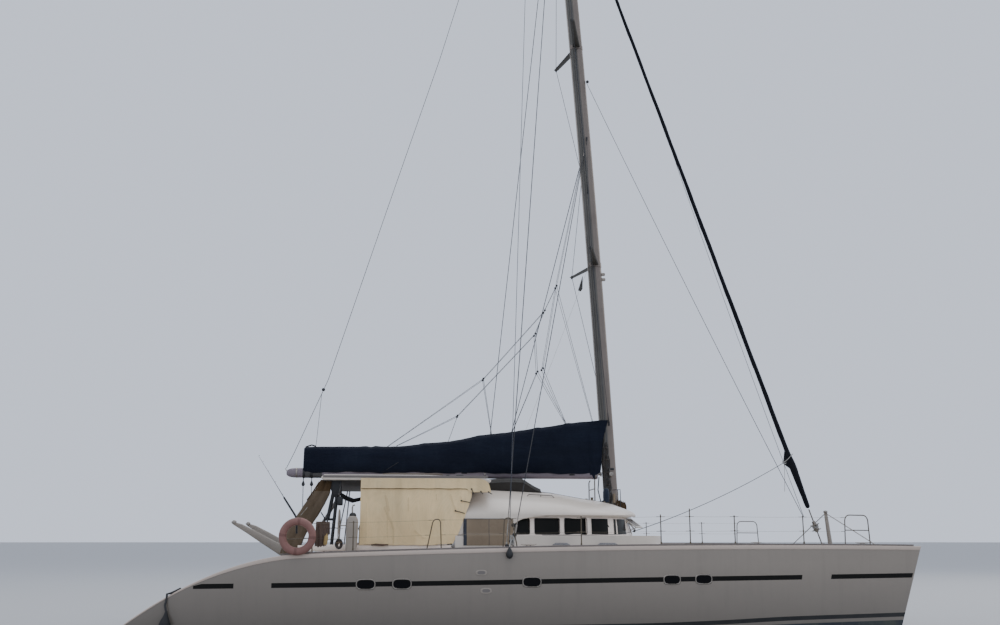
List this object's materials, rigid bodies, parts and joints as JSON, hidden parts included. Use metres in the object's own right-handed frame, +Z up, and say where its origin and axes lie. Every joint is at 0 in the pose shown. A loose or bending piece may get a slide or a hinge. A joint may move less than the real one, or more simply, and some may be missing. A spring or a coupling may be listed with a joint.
{
  "type": "cruising sailing catamaran",
  "caption": "Cruising sailing catamaran afloat: twin hulls, bridgedeck saloon, cockpit hardtop, raked mast, furled sails, rudders, propellers and bow nets.",
  "frame": {"origin": "on the centreline, halfway between stern and bow, at the waterline", "axes": "+X towards the bows, +Y to port, +Z up"},
  "size_m": [17.06, 9.2473, 28.4],
  "materials": {
    "gelcoat": "weathered white gelcoat",
    "roof_white": "satin off-white gelcoat",
    "antifouling": "matt dark antifouling paint",
    "tinted_glass": "dark tinted glass",
    "spar_alloy": "anodised, weathered",
    "stainless": "polished stainless tube and wire",
    "bronze": "dull bronze",
    "cream_canvas": "cream canvas",
    "tan_canvas": "tan canvas",
    "navy_canvas": "navy canvas",
    "black_mesh": "black mesh fabric",
    "black_paint": "black painted tube",
    "buoy_foam": "faded salmon skin",
    "fender_vinyl": "scuffed white vinyl",
    "engine_paint": "grey engine enamel",
    "teak": "oiled wood",
    "cushion": "pale vinyl upholstery",
    "net_cord": "white knotless netting"
  },
  "bodies": {
    "root": {"hull_starboard": "gelcoat", "hull_port": "gelcoat", "keel_starboard": "antifouling", "keel_port": "antifouling", "shaft_bracket_starboard": "bronze", "shaft_bracket_port": "bronze", "engine_starboard": "engine_paint", "engine_port": "engine_paint", "bridgedeck": "gelcoat", "saloon_walls": "roof_white", "saloon_glazing": "tinted_glass", "coachroof": "roof_white", "saloon_bulkhead": "roof_white", "mast": "spar_alloy", "spreaders_lower": "spar_alloy", "spreaders_upper": "spar_alloy", "shrouds_starboard": "stainless", "shrouds_port": "stainless", "bow_crossbeam": "spar_alloy", "bow_walkway": "gelcoat", "bow_net_starboard": "net_cord", "bow_net_port": "net_cord", "furler_drum": "stainless", "furled_genoa": "navy_canvas", "hardtop": "roof_white", "arch_leg_starboard": "tan_canvas", "arch_leg_port": "tan_canvas", "hardtop_posts_starboard": "black_paint", "hardtop_posts_port": "black_paint", "side_curtain": "cream_canvas", "spray_hood": "black_mesh", "traveller_and_davits": "spar_alloy", "rails_starboard": "stainless", "rails_port": "stainless", "lifebuoy": "buoy_foam", "quarter_fender": "fender_vinyl", "helm_console_starboard": "gelcoat", "helm_console_port": "gelcoat", "cockpit_settee": "cushion", "cockpit_table": "teak", "saloon_settee": "cushion", "galley_counter": "teak"},
    "boom_body": {"boom": "spar_alloy", "sail_cover": "navy_canvas"},
    "rudder_starboard_body": {"rudder_starboard": "antifouling"},
    "rudder_port_body": {"rudder_port": "antifouling"},
    "wheel_starboard_body": {"helm_wheel_starboard": "stainless"},
    "wheel_port_body": {"helm_wheel_port": "stainless"},
    "propeller_starboard_body": {"propeller_starboard": "bronze"},
    "propeller_port_body": {"propeller_port": "bronze"},
    "engine_hatch_starboard_body": {"engine_hatch_starboard": "roof_white"},
    "engine_hatch_port_body": {"engine_hatch_port": "roof_white"},
    "mid_hatch_starboard_body": {"mid_hatch_starboard": "tinted_glass"},
    "mid_hatch_port_body": {"mid_hatch_port": "tinted_glass"},
    "fore_hatch_starboard_body": {"fore_hatch_starboard": "tinted_glass"},
    "fore_hatch_port_body": {"fore_hatch_port": "tinted_glass"},
    "saloon_door_body": {"saloon_door": "spar_alloy"}
  },
  "joints": [
    {"name": "boom_swing", "type": "hinge", "parent": "root", "child": "boom_body", "pos_m": [2.05, 0, 3.62], "axis": [0, 0, 1], "range_deg": [-50, 50]},
    {"name": "rudder_starboard_turn", "type": "hinge", "parent": "root", "child": "rudder_starboard_body", "pos_m": [-7.35, -3.62, -0.275], "axis": [0, 0, 1], "range_deg": [-35, 35]},
    {"name": "rudder_port_turn", "type": "hinge", "parent": "root", "child": "rudder_port_body", "pos_m": [-7.35, 3.62, -0.275], "axis": [0, 0, 1], "range_deg": [-35, 35]},
    {"name": "wheel_starboard_turn", "type": "hinge", "parent": "root", "child": "wheel_starboard_body", "pos_m": [-4.29, -3.08, 2.3], "axis": [1, 0, 0], "range_deg": [-450, 450]},
    {"name": "wheel_port_turn", "type": "hinge", "parent": "root", "child": "wheel_port_body", "pos_m": [-4.29, 3.08, 2.3], "axis": [1, 0, 0], "range_deg": [-450, 450]},
    {"name": "propeller_starboard_spin", "type": "hinge", "parent": "root", "child": "propeller_starboard_body", "pos_m": [-6.65, -3.62, -0.7], "axis": [0.9781, 0, 0.2079], "continuous": true},
    {"name": "propeller_port_spin", "type": "hinge", "parent": "root", "child": "propeller_port_body", "pos_m": [-6.65, 3.62, -0.7], "axis": [0.9781, 0, 0.2079], "continuous": true},
    {"name": "engine_hatch_starboard_lift", "type": "hinge", "parent": "root", "child": "engine_hatch_starboard_body", "pos_m": [-4.65, -3.62, 1.7032], "axis": [0, 1, 0], "range_deg": [0, 80]},
    {"name": "engine_hatch_port_lift", "type": "hinge", "parent": "root", "child": "engine_hatch_port_body", "pos_m": [-4.65, 3.62, 1.7032], "axis": [0, 1, 0], "range_deg": [0, 80]},
    {"name": "mid_hatch_starboard_lift", "type": "hinge", "parent": "root", "child": "mid_hatch_starboard_body", "pos_m": [1.31, -3.62, 1.8715], "axis": [0, 1, 0], "range_deg": [0, 85]},
    {"name": "mid_hatch_port_lift", "type": "hinge", "parent": "root", "child": "mid_hatch_port_body", "pos_m": [1.31, 3.62, 1.8715], "axis": [0, 1, 0], "range_deg": [0, 85]},
    {"name": "fore_hatch_starboard_lift", "type": "hinge", "parent": "root", "child": "fore_hatch_starboard_body", "pos_m": [5, -3.62, 1.9022], "axis": [0, 1, 0], "range_deg": [0, 85]},
    {"name": "fore_hatch_port_lift", "type": "hinge", "parent": "root", "child": "fore_hatch_port_body", "pos_m": [5, 3.62, 1.9022], "axis": [0, 1, 0], "range_deg": [0, 85]},
    {"name": "saloon_door_slide", "type": "slide", "parent": "root", "child": "saloon_door_body", "axis": [0, 1, 0], "range_m": [0, 1.25]}
  ],
  "couplings": [
    {"joint": "rudder_port_turn", "follows": "rudder_starboard_turn", "ratio": 1},
    {"joint": "wheel_starboard_turn", "follows": "rudder_starboard_turn", "ratio": 12},
    {"joint": "wheel_port_turn", "follows": "rudder_starboard_turn", "ratio": 12}
  ]
}
